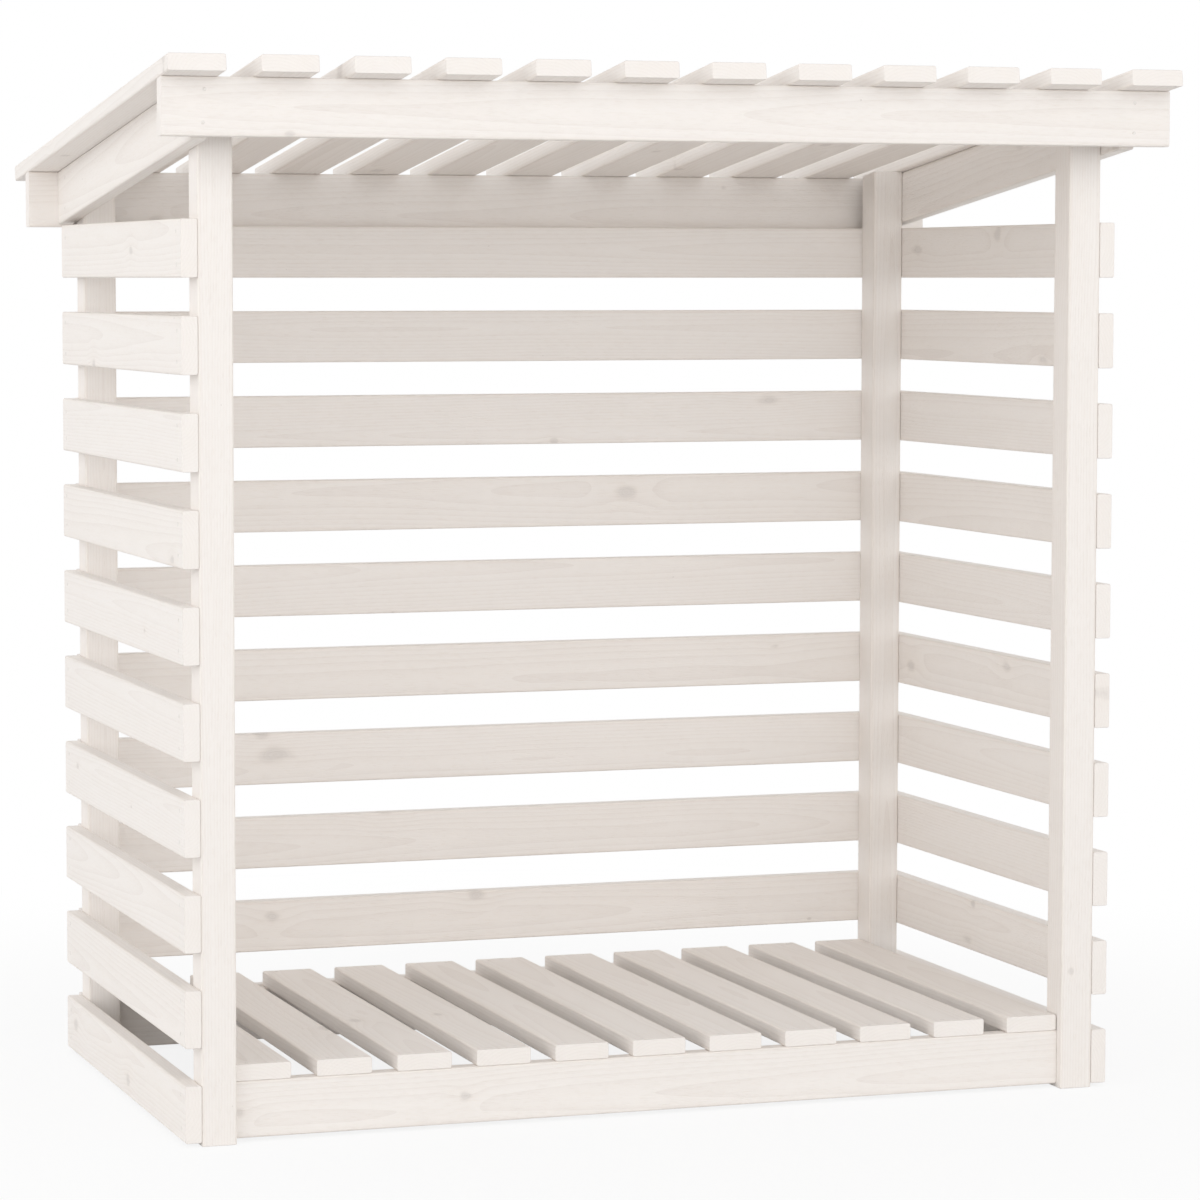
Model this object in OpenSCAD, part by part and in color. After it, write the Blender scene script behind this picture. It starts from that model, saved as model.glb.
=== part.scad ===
// Open log store: slatted sides and back, a slatted floor and a slatted lean-to roof on four posts.
// Millimetres, +Z up, front towards -Y, origin under the middle of the whole store.

/* [Frame] */
// Width over the outer faces of the posts
frame_w = 980; // [700:1:1400]
// Depth over the front and rear faces of the posts
frame_d = 550; // [400:1:800]
// Side of the square posts
post_s = 36; // [30:1:60]
// Height of the posts' feet below the lowest boards
foot_lift = 4; // [1:0.5:20]

/* [Boards] */
// Width of every board
board_w = 58; // [45:1:80]
// Thickness of every board
board_t = 17; // [12:0.5:24]
// Chamfer along the long edges of boards and posts
edge_ease = 1.5; // [0.5:0.1:3]

/* [Walls] */
// Boards up each wall
wall_count = 10; // [6:1:12]
// Open gap between two wall boards
wall_gap = 37.7; // [15:0.1:60]

/* [Floor] */
// Boards in the floor
floor_count = 11; // [7:1:12]
// Clearance between the floor and the posts beside it
floor_clear = 1; // [0.5:0.1:5]
// Setback of the floor from the outer faces of the posts
floor_setback = 10; // [0:0.5:15]

/* [Roof] */
// Fall of the roof towards the back, in degrees
roof_slope = 7; // [3:0.5:15]
// Boards across the roof
roof_count = 12; // [7:1:14]
// Overhang of the roof past the outer faces of the posts at each side
roof_side = 50; // [30:1:120]
// Overhang of the roof past the front faces of the posts
roof_front = 87; // [70:1:160]
// Overhang of the roof past the rear faces of the posts
roof_rear = 93; // [60:1:160]
// Reach of the rafters past the front faces of the posts
rafter_front = 41; // [20:1:45]
// Clearance between the rafters and the top wall boards
rafter_clear = 1; // [0.5:0.1:10]
// Lap of the rear fascia down over the top back board
rear_lap = 2; // [0.5:0.5:20]

/* [Hidden] */
paint = [0.92, 0.9, 0.87];
shade_paint = [0.88, 0.86, 0.83];

// The frame in plan, with the roof centred over the origin
half_w = frame_w / 2;
inner_w = frame_w - 2 * post_s;
front_y = (roof_front - frame_d - roof_rear) / 2;
rear_y = front_y + frame_d;

// Heights of the wall boards, from the lowest up
wall_pitch = board_w + wall_gap;
wall_top = foot_lift + (wall_count - 1) * wall_pitch + board_w;

// The floor lies on its two rails
floor_z = foot_lift + board_w;
floor_front = front_y + floor_setback;
floor_rear = rear_y - floor_setback;
floor_pitch = (inner_w - 2 * floor_clear - board_w) / (floor_count - 1);

// Underside of the roof, a plane set by the lower rear corner of the rafters
rafter_front_y = front_y - rafter_front;
rafter_rear_y = rear_y + board_t;
rafter_h = board_w / cos(roof_slope);
roof_w = frame_w + 2 * roof_side;
roof_front_y = front_y - roof_front;
roof_depth = frame_d + roof_front + roof_rear;
roof_len = (roof_depth - board_t * sin(roof_slope)) / cos(roof_slope);
roof_pitch = (roof_w - board_w) / (roof_count - 1);
function under_roof(y) = wall_top + rafter_clear + rafter_h + (rafter_rear_y - y) * tan(roof_slope);

slat_numbers = [1:wall_count];
roof_numbers = [1:roof_count];

// Section of a sawn board or post, with its four edges eased
module eased_section(w, h) {
    e = edge_ease;
    polygon([[e, 0], [w - e, 0], [w, e], [w, h - e], [w - e, h], [e, h], [0, h - e], [0, e]]);
}

// Board along X, d deep and h high, from the origin
module board_x(len, d, h) {
    rotate([90, 0, 90]) linear_extrude(len) eased_section(d, h);
}

// Board along Y, w wide and h high, from the origin
module board_y(len, w, h) {
    translate([0, len, 0]) rotate([90, 0, 0]) linear_extrude(len) eased_section(w, h);
}

// Everything below the roof boards, as a slab across the whole width
module below_roof() {
    near = roof_front_y;
    far = near + roof_depth;
    translate([-roof_w / 2, 0, 0]) rotate([90, 0, 90]) linear_extrude(roof_w)
        polygon([[near, 0], [far, 0], [far, under_roof(far)], [near, under_roof(near)]]);
}

// Post whose top is cut to the slope of the roof
module post(x, y) {
    color(paint) intersection() {
        translate([x, y, 0]) linear_extrude(under_roof(y)) eased_section(post_s, post_s);
        below_roof();
    }
}

module front_left_post() {
    post(-half_w, front_y);
}

module front_right_post() {
    post(half_w - post_s, front_y);
}

module back_left_post() {
    post(-half_w, rear_y - post_s);
}

module back_right_post() {
    post(half_w - post_s, rear_y - post_s);
}

function slat_z(i) = foot_lift + (i - 1) * wall_pitch;

// Side slats lie on the outer faces of the posts
module left_slat(i) {
    color(paint) translate([-half_w - board_t, front_y, slat_z(i)]) board_y(frame_d, board_t, board_w);
}

module right_slat(i) {
    color(paint) translate([half_w, front_y, slat_z(i)]) board_y(frame_d, board_t, board_w);
}

// Back slats lie on the rear faces of the back posts, level with the side slats
module back_slats() {
    color(shade_paint) for (i = slat_numbers)
        translate([-half_w, rear_y, slat_z(i)]) board_x(frame_w, board_t, board_w);
}

// Floor rails stand on edge between the posts
module floor_rail(y) {
    color(paint) translate([-inner_w / 2, y, foot_lift]) board_x(inner_w, board_t, board_w);
}

module front_floor_rail() {
    floor_rail(floor_front);
}

module back_floor_rail() {
    floor_rail(floor_rear - board_t);
}

module floor_boards() {
    first_x = -inner_w / 2 + floor_clear;
    color(paint) for (i = [0:floor_count - 1])
        translate([first_x + i * floor_pitch, floor_front, floor_z])
            board_y(floor_rear - floor_front, board_w, board_t);
}

// Sloping rafter on the outer faces of the posts, both ends of a longer board cut plumb
module rafter(x) {
    run = rafter_rear_y - rafter_front_y;
    blank = run / cos(roof_slope) + 2 * board_w;
    color(paint) intersection() {
        translate([x, rafter_front_y, under_roof(rafter_front_y) - rafter_h]) rotate([-roof_slope, 0, 0])
            translate([0, -board_w, 0]) board_y(blank, board_t, board_w);
        translate([x, rafter_front_y, 0]) cube([board_t, run, under_roof(roof_front_y)]);
    }
}

module left_rafter() {
    rafter(-half_w - board_t);
}

module right_rafter() {
    rafter(half_w);
}

// Upright board on the rafters' ends, eased below and bevelled above to the slope of the roof
module fascia(y, bottom) {
    e = edge_ease;
    near = y;
    far = y + board_t;
    color(paint) translate([-roof_w / 2, 0, 0]) rotate([90, 0, 90]) linear_extrude(roof_w)
        polygon([[near + e, bottom], [far - e, bottom], [far, bottom + e], [far, under_roof(far)],
                 [near, under_roof(near)], [near, bottom + e]]);
}

module front_fascia() {
    front_face = rafter_front_y - board_t;
    fascia(front_face, under_roof(front_face) - board_w);
}

module rear_fascia() {
    fascia(rafter_rear_y, wall_top - rear_lap);
}

// Roof boards run from front to back over both fascias
module roof_board(i) {
    color(shade_paint)
        translate([-roof_w / 2 + (i - 1) * roof_pitch, roof_front_y, under_roof(roof_front_y)])
            rotate([-roof_slope, 0, 0]) board_y(roof_len, board_w, board_t);
}

front_left_post();
front_right_post();
back_left_post();
back_right_post();
for (i = slat_numbers) left_slat(i);
for (i = slat_numbers) right_slat(i);
back_slats();
front_floor_rail();
back_floor_rail();
floor_boards();
left_rafter();
right_rafter();
front_fascia();
rear_fascia();
for (i = roof_numbers) roof_board(i);
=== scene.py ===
import math
import random

import bmesh
import bpy
from mathutils import Matrix, Vector


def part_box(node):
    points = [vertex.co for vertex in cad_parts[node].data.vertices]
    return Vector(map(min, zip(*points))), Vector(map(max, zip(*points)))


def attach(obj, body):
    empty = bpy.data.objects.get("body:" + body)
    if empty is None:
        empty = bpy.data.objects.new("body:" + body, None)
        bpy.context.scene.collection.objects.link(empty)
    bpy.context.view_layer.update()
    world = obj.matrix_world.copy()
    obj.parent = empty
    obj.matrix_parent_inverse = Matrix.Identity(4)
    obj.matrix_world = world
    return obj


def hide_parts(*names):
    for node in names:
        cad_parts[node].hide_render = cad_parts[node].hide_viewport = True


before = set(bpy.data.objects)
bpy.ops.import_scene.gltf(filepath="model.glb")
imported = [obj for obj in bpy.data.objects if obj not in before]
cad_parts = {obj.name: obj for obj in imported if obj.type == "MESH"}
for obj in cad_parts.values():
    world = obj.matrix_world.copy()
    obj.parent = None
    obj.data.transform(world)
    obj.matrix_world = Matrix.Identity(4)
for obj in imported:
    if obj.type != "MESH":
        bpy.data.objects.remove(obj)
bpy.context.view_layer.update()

scene = bpy.context.scene
scene.view_settings.view_transform = "Standard"
print("frame loaded,", len(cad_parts), "nodes")


# Shader sockets as values
class Sock:
    def __init__(self, tree, link=None):
        self.tree = tree
        self.link = link

    # any node: its type, its settings, then the values or links of its sockets
    def node(self, kind, settings, sockets, out=0):
        made = self.tree.nodes.new("ShaderNode" + kind)
        for name, value in settings.items():
            setattr(made, name, value)
        for name, value in sockets.items():
            if isinstance(value, Sock):
                self.tree.links.new(value.link, made.inputs[name])
            else:
                made.inputs[name].default_value = value
        return Sock(self.tree, made.outputs[out] if made.outputs else None)

    # another output of the node that this socket comes from
    def also(self, out):
        return Sock(self.tree, self.link.node.outputs[out])

    def calc(self, operation, *values):
        return self.node("Math", {"operation": operation}, dict(enumerate(values)))

    def __add__(self, other):
        return self.calc("ADD", self, other)

    def __radd__(self, other):
        return self.calc("ADD", other, self)

    def __sub__(self, other):
        return self.calc("SUBTRACT", self, other)

    def __rsub__(self, other):
        return self.calc("SUBTRACT", other, self)

    def __mul__(self, other):
        return self.calc("MULTIPLY", self, other)

    def __rmul__(self, other):
        return self.calc("MULTIPLY", other, self)

    def __truediv__(self, other):
        return self.calc("DIVIDE", self, other)

    def __pow__(self, other):
        return self.calc("POWER", self, other)

    def __abs__(self):
        return self.calc("ABSOLUTE", self)

    def atLeast(self, lowest):
        return self.calc("MAXIMUM", self, lowest)

    def fraction(self):
        return self.calc("FRACT", self)

    def wave(self):
        return self.calc("SINE", self)

    # 0 at low, 1 at high, eased between them
    def ramp(self, low, high):
        sockets = {"Value": self, "From Min": low, "From Max": high}
        return self.node("MapRange", {"interpolation_type": "SMOOTHSTEP"}, sockets)

    # x, y and z of a vector as three values
    def split(self):
        x = self.node("SeparateXYZ", {}, {"Vector": self})
        return x, x.also("Y"), x.also("Z")

    def vector(self, operation, *values):
        return self.node("VectorMath", {"operation": operation}, dict(enumerate(values)))

    # this vector times a fixed vector
    def stretch(self, *by):
        return self.vector("MULTIPLY", self, by)

    def noise(self, detail, rough=0.5):
        sockets = {"Vector": self, "Scale": 1.0, "Detail": detail, "Roughness": rough}
        return self.node("TexNoise", {}, sockets)

    # first colour where this factor is 0, second where it is 1
    def mix(self, first, second):
        return self.node("Mix", {"data_type": "RGBA"}, {0: self, 6: first, 7: second}, 2)


def emptyTree(owner):
    owner.use_nodes = True
    owner.node_tree.nodes.clear()
    return Sock(owner.node_tree)


# White stain on sawn pine
pineLook = {
    "stain": (0.895, 0.858, 0.828, 1),    # what the stain covers fully
    "early": (0.74, 0.58, 0.40, 1),       # wood of spring, between the ring lines
    "late": (0.46, 0.30, 0.17, 1),        # the dark ring lines
    "knot": (0.26, 0.19, 0.14, 1),
    "knotDepth": 0.9,                     # how much of a knot is its own colour
    "cover": 1.02,                        # share of the wood that the stain hides at its thickest
    "lineCover": 0.05,                    # less on ring lines
    "knotCover": 0.14,                    # less on knots
    "haloCover": 0.02,                    # and close round them
    "eyeCover": 0.02,                     # on the fine rings inside a knot
    "endCover": 0.015,                    # less on sawn ends
    "edgeCover": 0.06,                    # rubbed along the eased edges
    "patchCover": 0.07,                   # brushed thick and thin
    "fibreCover": 0.05,
    "fleckCover": 0.05,                   # short open pores
    "boardCover": 0.025,                  # from one board to another
    "ringWidth": 0.0034,
    "ringEdge": 2.0,                      # how sharply a ring darkens to its edge
    "endCalm": 0.4,                       # how much fainter the rings are on sawn ends
    "pithAcross": 0.05,                   # how far the tree's middle may lie off the board's
    "pithThrough": 0.045,
    "pithNear": 0.35,                     # share of that which is the least
    "taper": 0.035,
    "wander": 0.011,
    "knotCell": (0.24, 0.075),            # one knot at most in each such piece of board
    "knotStray": 0.9,                     # how far a knot lies off the middle of its cell
    "knotSize": 0.023,
    "knotLeast": 0.00001,
    "knotShare": 0.48,
    "knotRound": 0.9,
    "knotLong": 0.5,                      # how far a knot may be drawn out along the board
    "knotRagged": 0.007,
    "knotPush": 0.35,                     # how far a knot pushes the rings aside
    "knotRim": (0.35, 1.15),              # from inside a knot to outside, as shares of its size
    "haloRim": (0.6, 4.2),
    "eyeRings": 2600,
    "fleckRim": (0.6, 0.74),
    "edgeRim": (0.0012, 0.0045),          # width of the rubbed edges
    "woodReach": 40,                      # metres of wood that the boards are cut from
    "wanderGrain": (2.6, 9, 9),           # patterns to a metre along, across and through a board
    "raggedGrain": (45, 100, 100),
    "fibreGrain": (9, 620, 620),
    "fleckGrain": (110, 1300, 1300),
    "patchGrain": (5, 34, 34),
    "wanderFine": 1.5,                    # how many finer patterns each one carries
    "raggedFine": 1.0,
    "fibreFine": 1.0,
    "fleckFine": 0.0,
    "patchFine": 2.0,
    "fibreRough": 0.6,
    "sawPitch": 1900,                     # marks of the saw across the ends
    "sawSlant": 0.3,
    "roughness": 0.52,
    "fibreDull": 0.12,
    "endDull": 0.12,
    "shine": 0.35,
    "relief": 0.0005,                     # height of the raised grain
    "reliefShare": 0.5,
    "fibreRise": 0.7,
    "fleckSink": 0.5,
    "markRise": 0.12,
}


def stainedPine(name, changes):
    look = dict(pineLook, **changes)
    material = bpy.data.materials.new(name)
    tree = emptyTree(material)
    spot = tree.node("Attribute", {"attribute_name": "boardSpot"}, {}, "Vector")
    half = tree.node("Attribute", {"attribute_name": "boardHalf"}, {}, "Vector")
    luck = tree.node("Attribute", {"attribute_name": "boardLuck"}, {}, "Vector")
    sawn = tree.node("Attribute", {"attribute_name": "sawnEnd"}, {}, "Fac")
    place = tree.vector("ADD", spot, luck.stretch(*[look["woodReach"]] * 3))
    along, across, through = spot.split()
    luckA, luckB, luckC = luck.split()

    # knots stand straight through the board
    cellLong, cellWide = look["knotCell"]
    cellSpot = place.stretch(1 / cellLong, 1 / cellWide, 0)
    cells = tree.node("TexVoronoi", {"voronoi_dimensions": "2D"},
                      {"Vector": cellSpot, "Scale": 1.0, "Randomness": look["knotStray"]}, "Position")
    offset = tree.vector("SUBTRACT", cellSpot, cells).stretch(cellLong, cellWide, 0).split()
    cellLuck = cells.also("Color").split()
    offAlong = offset[0] * (look["knotRound"] - look["knotLong"] * cellLuck[1])
    ragged = (place.stretch(*look["raggedGrain"]).noise(look["raggedFine"]) - 0.5) * look["knotRagged"]
    knotReach = (offAlong * offAlong + offset[1] * offset[1]) ** 0.5 + ragged
    knotSize = (cellLuck[0] - (1 - look["knotShare"])).atLeast(0) * look["knotSize"] + look["knotLeast"]
    nearKnot = knotReach / knotSize
    knot = 1 - nearKnot.ramp(*look["knotRim"])
    halo = 1 - nearKnot.ramp(*look["haloRim"])
    eye = (knotReach * look["eyeRings"]).wave() * knot

    # growth rings round the tree's middle, pushed aside by the knots
    ringX = across - (luckA - 0.5) * look["pithAcross"]
    ringY = through + look["pithThrough"] * (look["pithNear"] + luckB)
    reach = (ringX * ringX + ringY * ringY) ** 0.5 + along * ((luckC - 0.5) * look["taper"])
    reach = reach + (place.stretch(*look["wanderGrain"]).noise(look["wanderFine"]) - 0.5) * look["wander"]
    ring = ((reach + halo * knotSize * look["knotPush"]) / look["ringWidth"]).fraction()
    line = ring ** look["ringEdge"] * (1 - sawn * look["endCalm"])

    # fibres, pores, brushed patches, rubbed edges and saw marks
    fibre = place.stretch(*look["fibreGrain"]).noise(look["fibreFine"], look["fibreRough"])
    pores = place.stretch(*look["fleckGrain"]).noise(look["fleckFine"])
    fleck = pores.ramp(*look["fleckRim"]) * (1 - sawn)
    patch = place.stretch(*look["patchGrain"]).noise(look["patchFine"], look["fibreRough"])
    halves = half.split()
    inward = halves[1] - abs(across) + halves[2] - abs(through) + (patch - 0.5) * look["edgeRim"][1]
    edge = (1 - inward.ramp(*look["edgeRim"])) * (1 - sawn)
    marks = ((across * look["sawSlant"] + through) * look["sawPitch"]).wave() * sawn

    wood = line.mix(look["early"], look["late"])
    wood = (knot * look["knotDepth"]).mix(wood, look["knot"])
    bare = line * look["lineCover"] + knot * look["knotCover"] + halo * look["haloCover"]
    bare = bare + eye * look["eyeCover"] + sawn * look["endCover"]
    bare = bare + edge * look["edgeCover"] + fleck * look["fleckCover"]
    bare = bare + patch * look["patchCover"] + fibre * look["fibreCover"] + luckB * look["boardCover"]
    colour = (look["cover"] - bare).mix(wood, look["stain"])

    height = fibre * look["fibreRise"] - fleck * look["fleckSink"] + marks * look["markRise"]
    bump = tree.node("Bump", {}, {"Strength": look["reliefShare"], "Distance": look["relief"],
                                  "Height": height})
    rough = look["roughness"] + fibre * look["fibreDull"] + sawn * look["endDull"]
    shader = tree.node("BsdfPrincipled", {}, {"Base Color": colour, "Roughness": rough, "Normal": bump,
                                              "Specular IOR Level": look["shine"]})
    tree.node("OutputMaterial", {}, {"Surface": shader})
    return material


finishes = {
    "posts": stainedPine("stainedPostPine", {"pithThrough": 0.03, "ringWidth": 0.003}),
    "wall_slats": stainedPine("stainedSlatPine", {}),
    "floor": stainedPine("stainedFloorPine", {"cover": 1.015}),
    "roof_frame": stainedPine("stainedFramePine", {"ringWidth": 0.0038}),
    "roof_boards": stainedPine("stainedRoofPine", {"patchCover": 0.08}),
}
print("finishes made,", len(finishes))


# Boards, each sawn from a block and eased along its edges
boardLook = {
    "longRound": 0.002,    # along the board
    "longSteps": 3,
    "endRound": 0.0006,    # round a sawn end
    "endSteps": 1,
    "smoothAngle": 50,
    "endFacing": 0.9,      # how squarely a sawn end faces along the board
    "alongFacing": 0.99,   # and how closely a long edge runs along it
    "touching": 0.0001,    # faces closer than this belong to one board
    "digits": 6,           # of a metre, to tell points apart
    "seed": 41,
}
chance = random.Random(boardLook["seed"])


def deselect():
    bpy.ops.object.select_all(action="DESELECT")


def select(piece):
    deselect()
    piece.select_set(True)
    bpy.context.view_layer.objects.active = piece


def pickEdges(piece, wanted):
    bpy.ops.mesh.select_mode(type="EDGE")
    bpy.ops.mesh.select_all(action="DESELECT")
    mesh = bmesh.from_edit_mesh(piece.data)
    mesh.normal_update()
    for edge in mesh.edges:
        edge.select_set(wanted(edge))
    bmesh.update_edit_mesh(piece.data)


# block of a size, turned by tilt about X, cut by planes and eased; grain is the way its fibres run
def sawBoard(name, middle, size, grain, tilt=0.0, cuts=()):
    deselect()
    bpy.ops.mesh.primitive_cube_add(size=1, location=middle, rotation=(tilt, 0, 0))
    board = bpy.context.object
    board.name = name
    board.data.name = name
    board.scale = size
    bpy.ops.object.transform_apply(location=True, rotation=True, scale=True)

    turn = Matrix.Rotation(tilt, 3, "X")
    order = sorted(range(3), key=lambda k: size[k], reverse=True)
    order.remove(grain)
    axes = [turn.col[k].copy() for k in [grain] + order]
    lengthwise = axes[0]

    def isEnd(face):
        return abs(face.normal.dot(lengthwise)) > boardLook["endFacing"]

    def isLong(edge):
        run = (edge.verts[1].co - edge.verts[0].co).normalized()
        return abs(run.dot(lengthwise)) > boardLook["alongFacing"]

    def isRim(edge):
        return sum(isEnd(face) for face in edge.link_faces) == 1

    bpy.ops.object.mode_set(mode="EDIT")
    for point, normal in cuts:
        bpy.ops.mesh.select_all(action="SELECT")
        bpy.ops.mesh.bisect(plane_co=point, plane_no=normal, use_fill=True, clear_outer=True)
    pickEdges(board, isLong)
    bpy.ops.mesh.bevel(offset=boardLook["longRound"], segments=boardLook["longSteps"], affect="EDGES")
    pickEdges(board, isRim)
    bpy.ops.mesh.bevel(offset=boardLook["endRound"], segments=boardLook["endSteps"], affect="EDGES")
    bpy.ops.object.mode_set(mode="OBJECT")

    bpy.ops.object.shade_smooth_by_angle(angle=math.radians(boardLook["smoothAngle"]))
    flat = board.modifiers.new("flat", "WEIGHTED_NORMAL")
    flat.keep_sharp = True
    bpy.ops.object.modifier_apply(modifier=flat.name)

    # where each point lies along, across and through the board, for the grain
    mesh = board.data
    spots = mesh.attributes.new("boardSpot", "FLOAT_VECTOR", "POINT")
    halves = mesh.attributes.new("boardHalf", "FLOAT_VECTOR", "POINT")
    for vertex, spot, half in zip(mesh.vertices, spots.data, halves.data):
        spot.vector = [(vertex.co - middle).dot(axis) for axis in axes]
        half.vector = [size[k] / 2 for k in [grain] + order]
    sawn = mesh.attributes.new("sawnEnd", "FLOAT", "POINT")
    for face in mesh.polygons:
        if isEnd(face):
            for index in face.vertices:
                sawn.data[index].value = 1.0
    giveLuck(board)
    return board


# each board comes from another tree
def giveLuck(board):
    mesh = board.data
    luck = mesh.attributes.get("boardLuck") or mesh.attributes.new("boardLuck", "FLOAT_VECTOR", "POINT")
    values = [chance.random() for k in range(3)]
    for point in luck.data:
        point.vector = values


def copyBoard(board, name, offset):
    select(board)
    bpy.ops.object.duplicate(linked=False)
    copy = bpy.context.object
    copy.name = name
    copy.data.name = name
    copy.location = offset
    bpy.ops.object.transform_apply(location=True, rotation=False, scale=False)
    giveLuck(copy)
    return copy


# one piece from several
def joinPieces(pieces):
    select(pieces[0])
    for piece in pieces:
        piece.select_set(True)
    bpy.ops.object.join()
    return bpy.context.object


# front_left_post becomes frontLeftPost
def pieceName(node):
    words = node.split("_")
    return words[0] + "".join(word.capitalize() for word in words[1:])


def dress(piece, slot, node):
    piece.data.materials.clear()
    piece.data.materials.append(finishes[slot])
    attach(piece, "root")
    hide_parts(node)


def corners(node):
    low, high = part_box(node)
    return Vector(low), Vector(high)


def middleOf(node):
    low, high = corners(node)
    return (low + high) / 2


# middle points of a tilted board's two ends, front first
def endMiddles(node):
    low, high = corners(node)
    halfway = (low.y + high.y) / 2
    digits = boardLook["digits"]
    points = {tuple(round(c, digits) for c in vertex.co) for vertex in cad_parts[node].data.vertices}
    ends = [[Vector(p) for p in points if p[1] < halfway], [Vector(p) for p in points if p[1] >= halfway]]
    return [sum(end, Vector()) / len(end) for end in ends]


# lowest and highest place along one axis of each board in a node of several
def boardSpans(node, axis):
    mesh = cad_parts[node].data
    places = [[mesh.vertices[i].co[axis] for i in face.vertices] for face in mesh.polygons]
    spans = []
    for low, high in sorted((min(place), max(place)) for place in places):
        if spans and low <= spans[-1][1] + boardLook["touching"]:
            spans[-1][1] = max(spans[-1][1], high)
        else:
            spans.append([low, high])
    return spans


# Roof boards give the slope and the plane that everything below is cut to
roofCount = sum(node.startswith("roof_board_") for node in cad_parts)
roofNodes = ["roof_board_" + str(k + 1) for k in range(roofCount)]
roofFront, roofRear = endMiddles(roofNodes[0])
roofRun = roofRear - roofFront
roofTilt = math.atan2(roofRun.z, roofRun.y)
roofUp = Matrix.Rotation(roofTilt, 3, "X") @ Vector((0, 0, 1))
slatLow, slatHigh = corners("left_slat_1")
boardThick = slatHigh.x - slatLow.x
boardWide = slatHigh.z - slatLow.z
roofUnder = (roofFront + roofRear) / 2 - roofUp * boardThick / 2
roofCut = (roofUnder, roofUp)


# a board that isn't tilted, as large as its node
def upright(node, grain, cuts=()):
    low, high = corners(node)
    return sawBoard(pieceName(node), (low + high) / 2, high - low, grain, cuts=cuts)


# copies of a finished board at other nodes of the same size
def repeat(board, first, others, slot):
    dress(board, slot, first)
    for node in others:
        copy = copyBoard(board, pieceName(node), corners(node)[0] - corners(first)[0])
        dress(copy, slot, node)


repeat(upright("front_left_post", 2, [roofCut]), "front_left_post", ["front_right_post"], "posts")
repeat(upright("back_left_post", 2, [roofCut]), "back_left_post", ["back_right_post"], "posts")

slatCount = sum(node.startswith("left_slat_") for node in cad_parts)
slatNodes = [side + "_slat_" + str(k + 1) for side in ("left", "right") for k in range(slatCount)]
repeat(upright(slatNodes[0], 1), slatNodes[0], slatNodes[1:], "wall_slats")


# boards of one node, as one joined piece
def boardRow(node, axis, grain, slot):
    low, high = corners(node)
    spans = boardSpans(node, axis)
    low[axis], high[axis] = spans[0]
    boards = [sawBoard(pieceName(node), (low + high) / 2, high - low, grain)]
    for span in spans[1:]:
        offset = Vector()
        offset[axis] = span[0] - spans[0][0]
        boards.append(copyBoard(boards[0], pieceName(node), offset))
    dress(joinPieces(boards), slot, node)
    return spans


backSpans = boardRow("back_slats", 2, 0, "wall_slats")
floorSpans = boardRow("floor_boards", 0, 1, "floor")
repeat(upright("front_floor_rail", 0), "front_floor_rail", ["back_floor_rail"], "floor")
for node in ("front_fascia", "rear_fascia"):
    dress(upright(node, 0, [roofCut]), "roof_frame", node)

# rafters are longer blanks cut plumb at both ends
rafterLow, rafterHigh = corners("left_rafter")
rafterFront, rafterRear = endMiddles("left_rafter")
rafterSize = (boardThick, (rafterRear - rafterFront).length + 2 * boardWide, boardWide)
plumbCuts = [(rafterLow, Vector((0, -1, 0))), (rafterHigh, Vector((0, 1, 0)))]
rafter = sawBoard("leftRafter", (rafterFront + rafterRear) / 2, rafterSize, 1, roofTilt, plumbCuts)
repeat(rafter, "left_rafter", ["right_rafter"], "roof_frame")

roofSize = (boardWide, roofRun.length, boardThick)
roofBoard = sawBoard(pieceName(roofNodes[0]), (roofFront + roofRear) / 2, roofSize, 1, roofTilt)
repeat(roofBoard, roofNodes[0], roofNodes[1:], "roof_boards")
print("boards made,", slatCount, "slats a side,", len(roofNodes), "roof boards")


# Nail heads, stained over with the wood
nailLook = {
    "radius": 0.0021,
    "sides": 12,
    "depth": 0.0016,
    "proud": 0.00025,      # how far the rim stands off the wood
    "dish": 0.0002,
    "rimShare": 0.3,       # of the radius that is rim, then the slope down to the dish
    "dishShare": 0.2,
    "topFacing": 0.9,
    "smoothAngle": 50,
    "pair": 0.016,         # each of two nails from the middle of the board
    "stray": 0.0015,       # placed by eye
    "stain": (0.82, 0.785, 0.75, 1),
    "worn": (0.62, 0.55, 0.49, 1),
    "wornGrain": (900, 900, 900),
    "wornFine": 2.0,
    "wornRim": (0.5, 0.8),
    "roughness": 0.45,
    "wornDull": 0.15,
}


def stainedNail():
    material = bpy.data.materials.new("stainedNail")
    tree = emptyTree(material)
    place = tree.node("TexCoord", {}, {}, "Object")
    wear = place.stretch(*nailLook["wornGrain"]).noise(nailLook["wornFine"])
    worn = wear.ramp(*nailLook["wornRim"])
    colour = worn.mix(nailLook["stain"], nailLook["worn"])
    rough = nailLook["roughness"] + worn * nailLook["wornDull"]
    shader = tree.node("BsdfPrincipled", {}, {"Base Color": colour, "Roughness": rough})
    tree.node("OutputMaterial", {}, {"Surface": shader})
    return material


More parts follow.
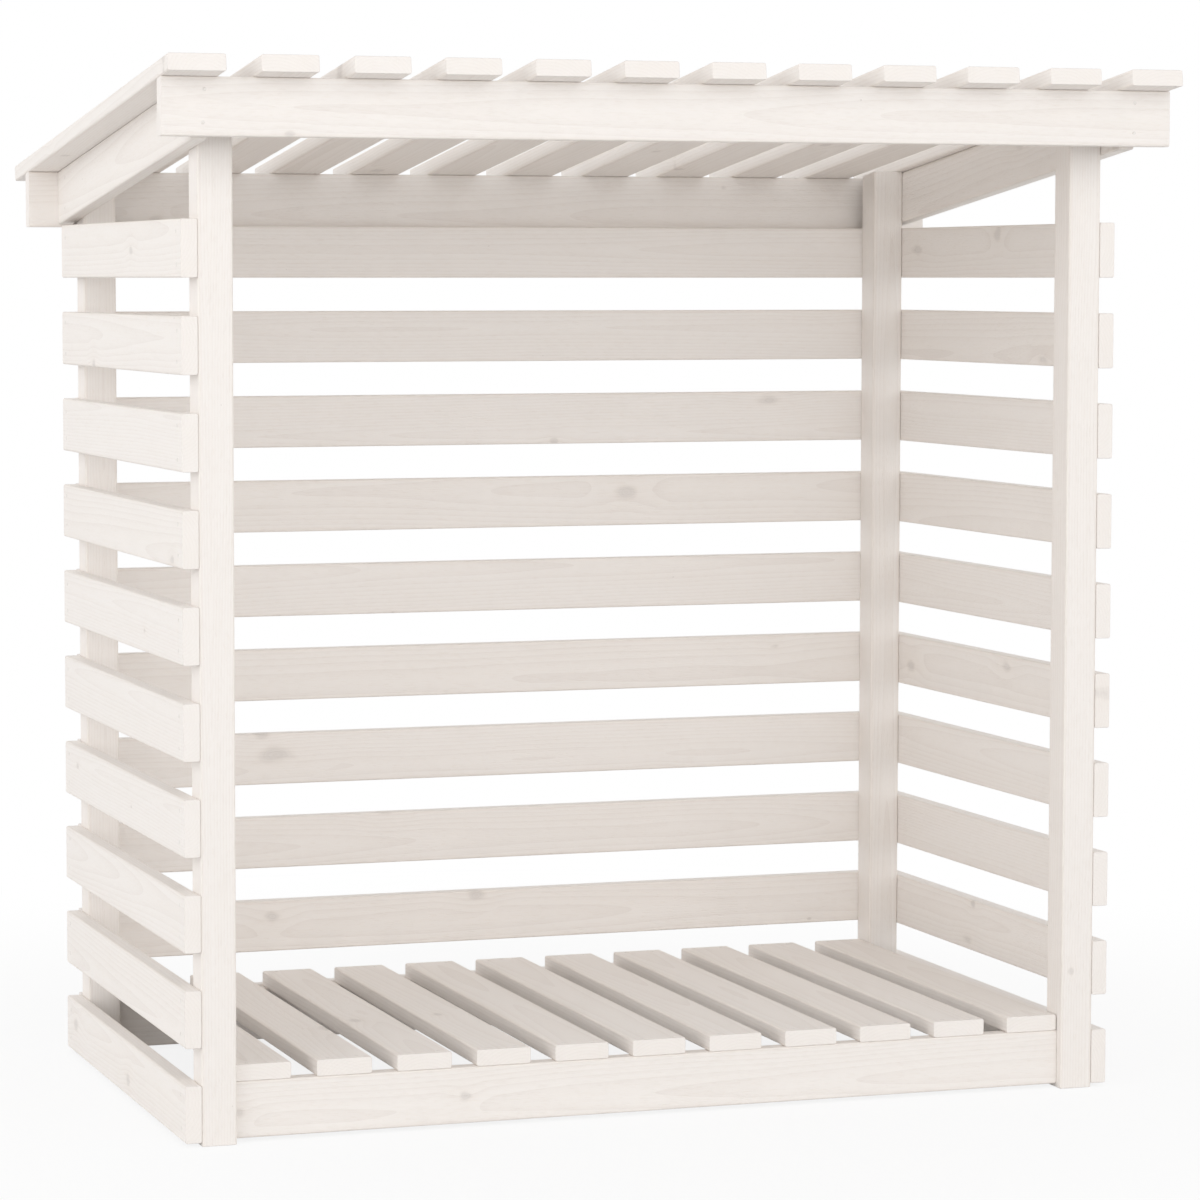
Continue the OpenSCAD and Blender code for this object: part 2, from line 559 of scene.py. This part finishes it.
def makeNail():
    deselect()
    bpy.ops.mesh.primitive_cylinder_add(vertices=nailLook["sides"], radius=nailLook["radius"],
                                        depth=nailLook["depth"],
                                        location=(0, 0, nailLook["proud"] - nailLook["depth"] / 2))
    nail = bpy.context.object
    bpy.ops.object.transform_apply(location=True, rotation=True, scale=True)
    bpy.ops.object.mode_set(mode="EDIT")
    bpy.ops.mesh.select_mode(type="FACE")
    bpy.ops.mesh.select_all(action="DESELECT")
    mesh = bmesh.from_edit_mesh(nail.data)
    for face in mesh.faces:
        face.select_set(face.normal.z > nailLook["topFacing"])
    bmesh.update_edit_mesh(nail.data)
    bpy.ops.mesh.inset(thickness=nailLook["radius"] * nailLook["rimShare"], depth=0.0)
    bpy.ops.mesh.inset(thickness=nailLook["radius"] * nailLook["dishShare"], depth=-nailLook["dish"])
    bpy.ops.object.mode_set(mode="OBJECT")
    bpy.ops.object.shade_smooth_by_angle(angle=math.radians(nailLook["smoothAngle"]))
    return nail


# nails at points of the wood, each with the way it faces, as one piece
def nailRow(nail, name, places):
    copies = []
    for point, facing in places:
        copy = nail.copy()
        copy.data = nail.data.copy()
        scene.collection.objects.link(copy)
        copy.data.transform(Matrix.Translation(point) @ facing.to_track_quat("Z", "Y").to_matrix().to_4x4())
        copies.append(copy)
    row = joinPieces(copies)
    row.name = name
    row.data.name = name
    row.data.materials.clear()
    row.data.materials.append(nailFinish)
    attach(row, "root")
    return len(places)


# two places either side of a point, along a way across the board
def pairAt(point, way, facing):
    stray = nailLook["stray"]
    places = []
    for side in (-1, 1):
        off = Vector([chance.uniform(-stray, stray) for k in range(3)])
        off -= facing * off.dot(facing)
        places.append((point + way * (side * nailLook["pair"]) + off, facing))
    return places


nailFinish = stainedNail()
nail = makeNail()
upWay = Vector((0, 0, 1))
sideWay = Vector((1, 0, 0))
backWay = Vector((0, 1, 0))
postNodes = {"left": ("front_left_post", "back_left_post"), "right": ("front_right_post", "back_right_post")}

wallPlaces = []
for node in slatNodes:
    side = node.split("_")[0]
    facing = sideWay if side == "right" else -sideWay
    for post in postNodes[side]:
        low, high = corners(node)
        face = high.x if side == "right" else low.x
        wallPlaces += pairAt(Vector((face, middleOf(post).y, (low.z + high.z) / 2)), upWay, facing)

backPlaces = []
for span in backSpans:
    for post in ("back_left_post", "back_right_post"):
        spot = Vector((middleOf(post).x, corners("back_slats")[1].y, sum(span) / 2))
        backPlaces += pairAt(spot, upWay, backWay)

floorPlaces = []
for span in floorSpans:
    for rail in ("front_floor_rail", "back_floor_rail"):
        spot = Vector((sum(span) / 2, middleOf(rail).y, corners("floor_boards")[1].z))
        floorPlaces += pairAt(spot, sideWay, upWay)

roofPlaces = []
for node in roofNodes:
    for fascia in ("front_fascia", "rear_fascia"):
        y = middleOf(fascia).y
        z = roofUnder.z - (y - roofUnder.y) * roofUp.y / roofUp.z + boardThick / roofUp.z
        roofPlaces += pairAt(Vector((middleOf(node).x, y, z)), sideWay, roofUp)

framePlaces = []
for side, posts in postNodes.items():
    facing = sideWay if side == "right" else -sideWay
    low, high = corners(side + "_rafter")
    front, rear = endMiddles(side + "_rafter")
    for post in posts:
        y = middleOf(post).y
        z = front.z + (y - front.y) * (rear.z - front.z) / (rear.y - front.y)
        framePlaces += pairAt(Vector((high.x if side == "right" else low.x, y, z)), upWay, facing)
    for fascia, facing in (("front_fascia", -backWay), ("rear_fascia", backWay)):
        low, high = corners(fascia)
        y = low.y if facing.y < 0 else high.y
        spot = Vector((front.x, y, (low.z + high.z) / 2))
        framePlaces += pairAt(spot, upWay, facing)

nailCount = nailRow(nail, "wallNails", wallPlaces)
nailCount += nailRow(nail, "backNails", backPlaces)
nailCount += nailRow(nail, "floorNails", floorPlaces)
nailCount += nailRow(nail, "roofNails", roofPlaces)
nailCount += nailRow(nail, "frameNails", framePlaces)
bpy.data.objects.remove(nail)
print("nails made,", nailCount)


# Floor, light and camera
stageLook = {
    "floorSize": 80.0,
    "floorColour": (0.9, 0.9, 0.9, 1),
    "bounceColour": (0.8, 0.8, 0.8, 1),    # what the floor throws back on the store
    "whiteShare": 0.85,    # of the floor by the store that the camera sees as plain white
    "whiteFrom": 0.5,      # from here the floor fades to plain white
    "whiteAt": 1.5,
    "skyLow": 1.51,        # light from all round, near the horizon and overhead
    "skyHigh": 0.33,
    "aim": (0, 0, 0.5),
    "lamps": {             # watts, metres across, place
        "frontLamp": (50.0, 4.5, (0.4, -5.0, 2.8)),
        "leftLamp": (60.0, 4.5, (-5.0, -2.0, 2.4)),
    },
}


# 1 for the rays that see the background itself
def seenRays(tree):
    camera = tree.node("LightPath", {}, {}, "Is Camera Ray")
    glossy = camera.also("Is Glossy Ray")
    through = camera.also("Is Transmission Ray")
    return camera.atLeast(glossy).atLeast(through)


def makeFloor():
    deselect()
    bpy.ops.mesh.primitive_plane_add(size=stageLook["floorSize"], location=(0, 0, 0))
    floor = bpy.context.object
    floor.name = "studioFloor"
    material = bpy.data.materials.new("paleFloor")
    material.cycles.emission_sampling = "NONE"    # its white lights nothing
    tree = emptyTree(material)
    seen = seenRays(tree)
    colour = seen.mix(stageLook["bounceColour"], stageLook["floorColour"])
    matt = tree.node("BsdfDiffuse", {}, {"Color": colour})
    white = tree.node("Emission", {}, {"Color": (1, 1, 1, 1), "Strength": 1.0})
    place = tree.node("TexCoord", {}, {}, "Object")
    away = tree.node("VectorMath", {"operation": "LENGTH"}, {0: place}, "Value")
    fade = away.ramp(stageLook["whiteFrom"], stageLook["whiteAt"])
    share = seen * (stageLook["whiteShare"] + (1 - stageLook["whiteShare"]) * fade)
    shader = tree.node("MixShader", {}, {0: share, 1: matt, 2: white})
    tree.node("OutputMaterial", {}, {"Surface": shader})
    floor.data.materials.append(material)


def makeSky():
    world = bpy.data.worlds.new("studioSky")
    scene.world = world
    tree = emptyTree(world)
    height = tree.node("TexCoord", {}, {}, "Generated").split()[2].atLeast(0)
    level = stageLook["skyLow"] + (stageLook["skyHigh"] - stageLook["skyLow"]) * height
    soft = tree.node("Background", {}, {"Color": (1, 1, 1, 1), "Strength": level})
    white = tree.node("Background", {}, {"Color": (1, 1, 1, 1), "Strength": 1.0})
    shader = tree.node("MixShader", {}, {0: seenRays(tree), 1: soft, 2: white})
    tree.node("OutputWorld", {}, {"Surface": shader})


def makeLamps():
    for name, (power, size, spot) in stageLook["lamps"].items():
        light = bpy.data.lights.new(name, "AREA")
        light.energy = power
        light.size = size
        lamp = bpy.data.objects.new(name, light)
        scene.collection.objects.link(lamp)
        lamp.location = spot
        aim = Vector(stageLook["aim"]) - lamp.location
        lamp.rotation_euler = aim.to_track_quat("-Z", "Y").to_euler()


cameraLook = {
    "lens": 122.82,
    "sensor": 36.0,
    "shift": (0.09, -0.015),
    "spot": (-1.4719, -4.1994, 0.8652),
    "turn": 18.158,        # degrees to the right of straight in
    "dip": 4.25,           # degrees below level
}


def makeCamera():
    data = bpy.data.cameras.new("photoCamera")
    data.lens = cameraLook["lens"]
    data.sensor_width = cameraLook["sensor"]
    data.shift_x, data.shift_y = cameraLook["shift"]
    camera = bpy.data.objects.new("photoCamera", data)
    scene.collection.objects.link(camera)
    camera.location = cameraLook["spot"]
    camera.rotation_euler = (math.radians(90 - cameraLook["dip"]), 0, math.radians(-cameraLook["turn"]))
    scene.camera = camera


makeFloor()
makeSky()
makeLamps()
makeCamera()
print("stage made")
